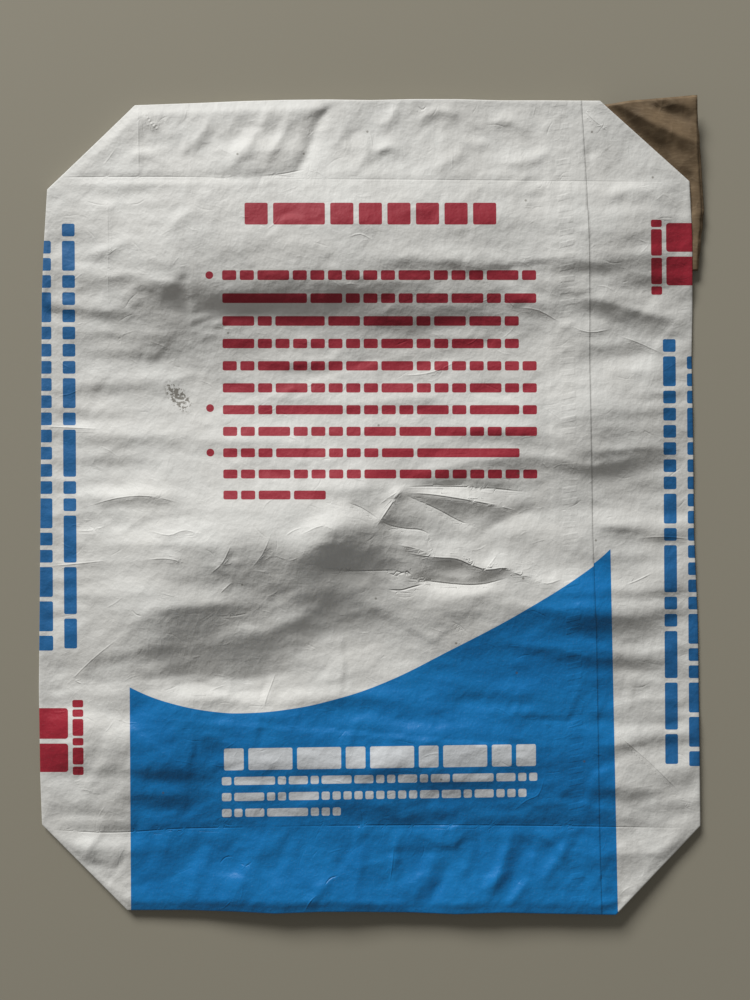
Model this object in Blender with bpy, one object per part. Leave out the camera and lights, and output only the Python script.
"""An empty pasted valve sack for 25 kg of dry mix, lying flat on its folded ends.

Metres, +Z up. The origin is on the floor, under the middle of the sack. +Y runs to the valve end,
and +X to the side that the valve opens on. The sack is a paper tube, laid flat. Each end of the
tube is folded over and pasted into a long hexagon, which lies under the sack. A patch covers each
hexagon, and a flat paper sleeve goes into the valve end at one corner. The upper wall keeps broad
swells from being filled, folded and handled.
"""

import math

import bmesh
import bpy
from mathutils import Vector

# The sack laid flat
SACK_WIDTH = 0.420
SACK_LENGTH = 0.520
END_WIDTH = 0.110
CLEARANCE = 0.0003

# The pasted plies of one wall, and the air in the fold between two walls
WALL = 0.0004
FOLD_AIR = 0.0005

# The pasted lap that joins the printed sheet into a tube: where its raw edge runs, from the middle
SEAM_EDGE = 0.143
SEAM_LAP = 0.025
PLY = 0.00015
SEAM_SLOPE = 0.0004

# The folded ends, as stacks of pasted flaps, and the slope of the lower wall up onto each
PLAIN_END_STACK = 0.0012
FOLD_BACK = 0.0005
RAMP = 0.022
RAMP_MARGIN = 0.002

# The patches over the folded ends, and how far they stay from the end's long and slanted sides
PATCH_PLY = 0.0003
PATCH_LONG_MARGIN = 0.0075
PATCH_SLANT_MARGIN = 0.0025

# The flat sleeve in the valve corner
SLEEVE_PLY = 0.0003
SLEEVE_AIR = 0.0003
SLEEVE_LENGTH = 0.150
SLEEVE_REACH = 0.0075
PORT_LENGTH = 0.020
PORT_EDGE = 0.006

# How the upper wall stands off the lower one: a crown that rises from the folds at the edges
CROWN = 0.0075
CROWN_REACH = 0.085
GRID_ACROSS = 22
GRID_ALONG = 34

# The broad swells that the empty paper keeps on top of the crown, and how far in from the edges
# they are full. Each has a height, a reach to the valve end and one to the plain end, and the
# points of its crest from left to right. A negative height makes a trough.
SWELL_MARGIN = 0.030
SWELL_END = 0.34
SWELLS = [
    (0.0055, 0.080, 0.054, [(-0.224, 0.146), (-0.150, 0.156), (-0.090, 0.162), (0.030, 0.152), (0.090, 0.150)]),
    (0.0025, 0.060, 0.050, [(-0.060, 0.184), (0.040, 0.180), (0.100, 0.170)]),
    (0.0040, 0.044, 0.044, [(0.104, 0.176), (0.150, 0.180), (0.226, 0.182)]),
    (-0.0055, 0.054, 0.060, [(-0.230, 0.076), (-0.150, 0.076), (0.000, 0.096), (0.140, 0.106)]),
    (0.0040, 0.036, 0.032, [(0.112, 0.054), (0.160, 0.064), (0.224, 0.062)]),
    (0.0110, 0.080, 0.066, [(-0.240, -0.072), (-0.170, -0.070), (-0.080, -0.028), (0.000, -0.010), (0.090, 0.006)]),
    (-0.0045, 0.030, 0.044, [(-0.140, -0.112), (-0.054, -0.100), (-0.020, -0.080), (0.020, -0.088), (0.070, -0.104)]),
    (-0.0025, 0.030, 0.030, [(0.060, 0.010), (0.110, 0.002), (0.226, 0.000)]),
    (0.0030, 0.026, 0.028, [(0.118, -0.056), (0.158, -0.060), (0.220, -0.056)]),
    (0.0040, 0.060, 0.040, [(-0.230, -0.140), (-0.155, -0.150), (-0.090, -0.170)]),
    (0.0025, 0.040, 0.040, [(-0.050, -0.172), (-0.010, -0.172), (0.070, -0.156), (0.130, -0.142)]),
]

HALF_WIDTH = SACK_WIDTH / 2
HALF_LENGTH = SACK_LENGTH / 2
CORNER = END_WIDTH / 2
TIP_LINE = HALF_LENGTH - CORNER
END_INNER = HALF_LENGTH - END_WIDTH

# A patch covers the middle of its end, up to the slanted sides
PATCH_WIDTH = END_WIDTH - 2 * PATCH_LONG_MARGIN
PATCH_LENGTH = SACK_WIDTH - PATCH_WIDTH - 2 * PATCH_SLANT_MARGIN

# The sleeve fits between the folds of the valve end, with a layer of flap under it and over it
FLAP = WALL
SLEEVE_THICKNESS = 2 * SLEEVE_PLY + SLEEVE_AIR
SLEEVE_WIDTH = END_WIDTH - 2 * (FOLD_BACK + FLAP + CLEARANCE)
POCKET_HEIGHT = SLEEVE_THICKNESS + 2 * CLEARANCE
VALVE_END_STACK = POCKET_HEIGHT + 2 * FLAP

# Where the lower wall starts to rise onto a folded end, and where it is up
RAMP_END = END_INNER - RAMP_MARGIN
RAMP_START = RAMP_END - RAMP

# Heights above the floor
END_FLOOR = PATCH_PLY + CLEARANCE
SLEEVE_FLOOR = END_FLOOR + FLAP + CLEARANCE
FOLD_HEIGHT = 2 * WALL + FOLD_AIR

SLEEVE_OUTER = HALF_WIDTH + SLEEVE_REACH
SLEEVE_INNER = SLEEVE_OUTER - SLEEVE_LENGTH

WHITE_KRAFT = ("white_kraft", (0.66, 0.65, 0.62, 1.0), 0.55)
BROWN_KRAFT = ("brown_kraft", (0.20, 0.125, 0.065, 1.0), 0.8)


def clear_scene():
    """Removes what the startup file holds."""
    for obj in list(bpy.data.objects):
        bpy.data.objects.remove(obj)


def new_collection(name):
    """A collection of the scene, for the sack or for its cutters."""
    collection = bpy.data.collections.new(name)
    bpy.context.scene.collection.children.link(collection)
    return collection


def paper_material(name, colour, roughness):
    """Plain paper: the print and the creases come with the finish."""
    material = bpy.data.materials.new(name)
    material.use_nodes = True
    surface = material.node_tree.nodes["Principled BSDF"]
    surface.inputs["Base Color"].default_value = colour
    surface.inputs["Roughness"].default_value = roughness
    surface.inputs["Metallic"].default_value = 0.0
    return material


def object_of(name, mesh, collection):
    """An object that shows the mesh, in a collection."""
    obj = bpy.data.objects.new(name, mesh)
    collection.objects.link(obj)
    return obj


def smooth_step(share):
    """0 below 0, 1 above 1, and an even S between them."""
    share = min(max(share, 0.0), 1.0)
    return share * share * (3 - 2 * share)


# Shape of the tube


def end_lift(y):
    """How high the folded end holds the lower wall there, on the valve side or the plain side."""
    stack = VALVE_END_STACK if y > 0 else PLAIN_END_STACK
    return END_FLOOR + stack + CLEARANCE


def underside(y):
    """The lower wall lies on the floor between the ends and rises onto each folded end."""
    share = (abs(y) - RAMP_START) / RAMP
    return end_lift(y) * min(max(share, 0.0), 1.0)


def edge_distance(x, y):
    """The distance in from the nearest edge of the flat sack, cut corners included."""
    across = HALF_WIDTH - abs(x)
    along = HALF_LENGTH - abs(y)
    corner = (across + along - CORNER) / math.sqrt(2)
    return min(across, along, corner)


def swell(x, y, valve_reach, plain_reach, crest):
    """1 on the crest of a swell, falling evenly to 0 at its reach on each side and at its ends."""
    place = Vector((x, y))
    points = [Vector(point) for point in crest]
    share = 0.0
    for start, end in zip(points, points[1:]):
        run = end - start
        along = min(max((place - start).dot(run) / run.length_squared, 0.0), 1.0)
        across = place - start - along * run
        reach = valve_reach if run.cross(across) > 0 else plain_reach
        share = max(share, smooth_step(1 - across.length / reach))
    chord = points[-1] - points[0]
    along = (place - points[0]).dot(chord) / chord.length_squared
    return share * smooth_step(min(along, 1 - along) / SWELL_END)


def stand_off(x, y):
    """How far the upper wall is above its height at the folds. It rests where a trough is deep."""
    inward = edge_distance(x, y)
    rise = CROWN * smooth_step(inward / CROWN_REACH)
    for height, valve_reach, plain_reach, crest in SWELLS:
        full = smooth_step(inward / SWELL_MARGIN)
        rise += height * full * swell(x, y, valve_reach, plain_reach, crest)
    return max(rise, 0.0)


def seam_relief(x):
    """The lap is one ply thicker, up to its raw edge."""
    rise = (x - (SEAM_EDGE - SEAM_LAP)) / SEAM_SLOPE
    fall = (SEAM_EDGE + SEAM_SLOPE - x) / SEAM_SLOPE
    return PLY * min(max(min(rise, fall), 0.0), 1.0)


def upperside(x, y):
    """The height of the upper wall's outer face, without the lap."""
    return underside(y) + FOLD_HEIGHT + stand_off(x, y)


def octagon_slab(name, collection, inset, column_cuts):
    """A gridded slab with the sack's outline, set in by inset, its two faces still flat."""
    work = bmesh.new()
    bmesh.ops.create_grid(work, x_segments=GRID_ACROSS, y_segments=GRID_ALONG, size=0.5)
    bmesh.ops.scale(
        work,
        verts=work.verts,
        vec=(SACK_WIDTH - 2 * inset, SACK_LENGTH - 2 * inset, 1),
    )
    row_cuts = [side * y for side in (1, -1) for y in (RAMP_START, RAMP_END)]
    cuts = [(Vector((x, 0, 0)), Vector((1, 0, 0)), False) for x in column_cuts]
    cuts += [(Vector((0, y, 0)), Vector((0, 1, 0)), False) for y in row_cuts]
    for across in (1, -1):
        for along in (1, -1):
            outward = Vector((across, along, 0)).normalized()
            on_corner = Vector((across * HALF_WIDTH, along * TIP_LINE, 0))
            cuts.append((on_corner - inset * outward, outward, True))
    for point, normal, is_corner in cuts:
        bmesh.ops.bisect_plane(
            work,
            geom=work.verts[:] + work.edges[:] + work.faces[:],
            dist=1e-6,
            plane_co=point,
            plane_no=normal,
            clear_outer=is_corner,
        )
    top = bmesh.ops.extrude_face_region(work, geom=work.faces[:])["geom"]
    for vert in [item for item in top if isinstance(item, bmesh.types.BMVert)]:
        vert.co.z = 1.0
    bmesh.ops.recalc_face_normals(work, faces=work.faces)
    mesh = bpy.data.meshes.new(name)
    work.to_mesh(mesh)
    work.free()
    return object_of(name, mesh, collection)


def tube_envelope(collection):
    """The outside of the flat tube: lower wall, folds at the edges, and upper wall with its lap."""
    lap_inner = SEAM_EDGE - SEAM_LAP
    lap_lines = [lap_inner, lap_inner + SEAM_SLOPE, SEAM_EDGE, SEAM_EDGE + SEAM_SLOPE]
    envelope = octagon_slab("sack_tube", collection, 0.0, lap_lines)
    for vert in envelope.data.vertices:
        x, y, is_upper = vert.co.x, vert.co.y, vert.co.z > 0.5
        vert.co.z = upperside(x, y) + seam_relief(x) if is_upper else underside(y)
    return envelope


def tube_inside(collection):
    """The empty inside of the tube, one wall in from the outside all round."""
    inside = octagon_slab("inside_cutter", collection, WALL + FOLD_AIR, [])
    for vert in inside.data.vertices:
        x, y, is_upper = vert.co.x, vert.co.y, vert.co.z > 0.5
        vert.co.z = upperside(x, y) - WALL if is_upper else underside(y) + WALL
    return inside


# Plates, boxes and joins


def plate(name, collection, outline, low, high):
    """A flat plate of the outline between two heights, from a filled and extruded curve."""
    curve = bpy.data.curves.new(name, "CURVE")
    curve.dimensions = "2D"
    curve.fill_mode = "BOTH"
    curve.extrude = (high - low) / 2
    spline = curve.splines.new("POLY")
    spline.points.add(len(outline) - 1)
    for point, (x, y) in zip(spline.points, outline):
        point.co = (x, y, 0, 1)
    spline.use_cyclic_u = True
    drawn = object_of(name + "_drawn", curve, collection)
    drawn.location.z = (low + high) / 2
    return mesh_of_curve(drawn, name, collection)


def mesh_of_curve(drawn, name, collection):
    """The curve as a closed mesh object in the same place. The curve is removed."""
    bpy.context.view_layer.update()
    evaluated = drawn.evaluated_get(bpy.context.evaluated_depsgraph_get())
    mesh = bpy.data.meshes.new_from_object(evaluated)
    work = bmesh.new()
    work.from_mesh(mesh)
    bmesh.ops.remove_doubles(work, verts=work.verts, dist=1e-6)
    bmesh.ops.recalc_face_normals(work, faces=work.faces)
    work.to_mesh(mesh)
    work.free()
    made = object_of(name, mesh, collection)
    made.matrix_world = drawn.matrix_world
    bpy.data.objects.remove(drawn)
    return made


def box(name, collection, low, high):
    """A box between two corners."""
    work = bmesh.new()
    bmesh.ops.create_cube(work, size=1)
    bmesh.ops.scale(work, verts=work.verts, vec=Vector(high) - Vector(low))
    bmesh.ops.translate(work, verts=work.verts, vec=(Vector(low) + Vector(high)) / 2)
    mesh = bpy.data.meshes.new(name)
    work.to_mesh(mesh)
    work.free()
    return object_of(name, mesh, collection)


def join(target, tool, operation):
    """Adds a Boolean to the target. The tool is a helper, so it isn't rendered."""
    tool.hide_render = True
    tool.display_type = "WIRE"
    modifier = target.modifiers.new(tool.name, "BOOLEAN")
    modifier.operation = operation
    modifier.solver = "EXACT"
    modifier.object = tool


def end_outline(side, rows):
    """The outline of a folded end through rows at these distances from the middle of the sack.

    The folded end is a hexagon with its points on the tip line, set back a little from the folds.
    """
    half = HALF_WIDTH - 2 * FOLD_BACK
    right = [(half - abs(y - TIP_LINE), side * y) for y in rows]
    left = [(-x, y) for x, y in reversed(right)]
    return right + left


def add_folded_end(sack, helpers, side, stack):
    """Joins one folded end under the tube. Its inner half stays free of the lower wall."""
    name = "valve_end" if side > 0 else "plain_end"
    inner, outer = END_INNER + FOLD_BACK, HALF_LENGTH - FOLD_BACK
    whole = end_outline(side, [inner, TIP_LINE, outer])
    flaps = plate(name + "_flaps", helpers, whole, END_FLOOR, END_FLOOR + stack)
    join(sack, flaps, "UNION")
    outer_half = end_outline(side, [TIP_LINE, outer])
    low, high = END_FLOOR + stack / 2, end_lift(side) + WALL / 2
    fold = plate(name + "_fold", helpers, outer_half, low, high)
    join(sack, fold, "UNION")


def cut_valve(sack, helpers):
    """Opens the pocket for the sleeve, and the way from its inner end into the sack."""
    low, high = END_FLOOR + FLAP, END_FLOOR + VALVE_END_STACK - FLAP
    reach_y = SLEEVE_WIDTH / 2 + CLEARANCE
    pocket_inner = SLEEVE_INNER - PORT_LENGTH
    pocket = box(
        "pocket_cutter",
        helpers,
        (pocket_inner, TIP_LINE - reach_y, low),
        (SLEEVE_OUTER + SLEEVE_REACH, TIP_LINE + reach_y, high),
    )
    join(sack, pocket, "DIFFERENCE")
    port = box(
        "port_cutter",
        helpers,
        (pocket_inner, TIP_LINE + PORT_EDGE, (low + high) / 2),
        (SLEEVE_INNER, HALF_LENGTH - PORT_EDGE, end_lift(1) + WALL + FOLD_AIR / 2),
    )
    join(sack, port, "DIFFERENCE")


def make_sack_tube(collection, helpers, material):
    """The paper tube with both ends folded over and pasted: one piece, open only at the valve."""
    sack = tube_envelope(collection)
    join(sack, tube_inside(helpers), "DIFFERENCE")
    add_folded_end(sack, helpers, -1, PLAIN_END_STACK)
    add_folded_end(sack, helpers, 1, VALVE_END_STACK)
    cut_valve(sack, helpers)
    sack.data.materials.append(material)
    return sack


def make_end_patch(name, collection, side, material):
    """The patch pasted over a folded end: the lowest sheet there, and it rests on the floor."""
    x, y = PATCH_LENGTH / 2, PATCH_WIDTH / 2
    centre = side * TIP_LINE
    outline = [(x, centre + y), (-x, centre + y), (-x, centre - y), (x, centre - y)]
    patch = plate(name, collection, outline, 0.0, PATCH_PLY)
    patch.data.materials.append(material)
    return patch


def stadium(width, height, steps=6):
    """A flat loop with round ends, as the fold of a flattened tube makes."""
    radius = height / 2
    reach = width / 2 - radius
    loop = []
    for side in (1, -1):
        for step in range(steps + 1):
            angle = side * math.pi / 2 - side * math.pi * step / steps
            across = side * (reach + radius * math.cos(angle))
            loop.append((across, radius * math.sin(angle)))
    return loop


def make_valve_sleeve(collection, material):
    """The flattened paper tube that the filling spout goes into, open at both ends."""
    curve = bpy.data.curves.new("valve_sleeve", "CURVE")
    curve.dimensions = "2D"
    curve.fill_mode = "BOTH"
    curve.extrude = SLEEVE_LENGTH / 2
    bore_width = SLEEVE_WIDTH - 2 * SLEEVE_PLY
    for width, height in ((SLEEVE_WIDTH, SLEEVE_THICKNESS), (bore_width, SLEEVE_AIR)):
        loop = stadium(width, height)
        spline = curve.splines.new("POLY")
        spline.points.add(len(loop) - 1)
        for point, (x, y) in zip(spline.points, loop):
            point.co = (x, y, 0, 1)
        spline.use_cyclic_u = True
    drawn = object_of("valve_sleeve_drawn", curve, collection)
    # The loop is drawn across the sleeve, so its own Z axis is turned to the sack's X axis
    drawn.rotation_euler = (math.pi / 2, 0, math.pi / 2)
    drawn.location = (
        SLEEVE_OUTER - SLEEVE_LENGTH / 2,
        TIP_LINE,
        SLEEVE_FLOOR + SLEEVE_THICKNESS / 2,
    )
    sleeve = mesh_of_curve(drawn, "valve_sleeve", collection)
    sleeve.data.materials.append(material)
    return sleeve


def main():
    clear_scene()
    parts = new_collection("valve_sack")
    helpers = new_collection("cutters")
    white = paper_material(*WHITE_KRAFT)
    brown = paper_material(*BROWN_KRAFT)
    make_sack_tube(parts, helpers, white)
    make_end_patch("plain_end_patch", parts, -1, white)
    make_end_patch("valve_end_patch", parts, 1, white)
    make_valve_sleeve(parts, brown)


main()
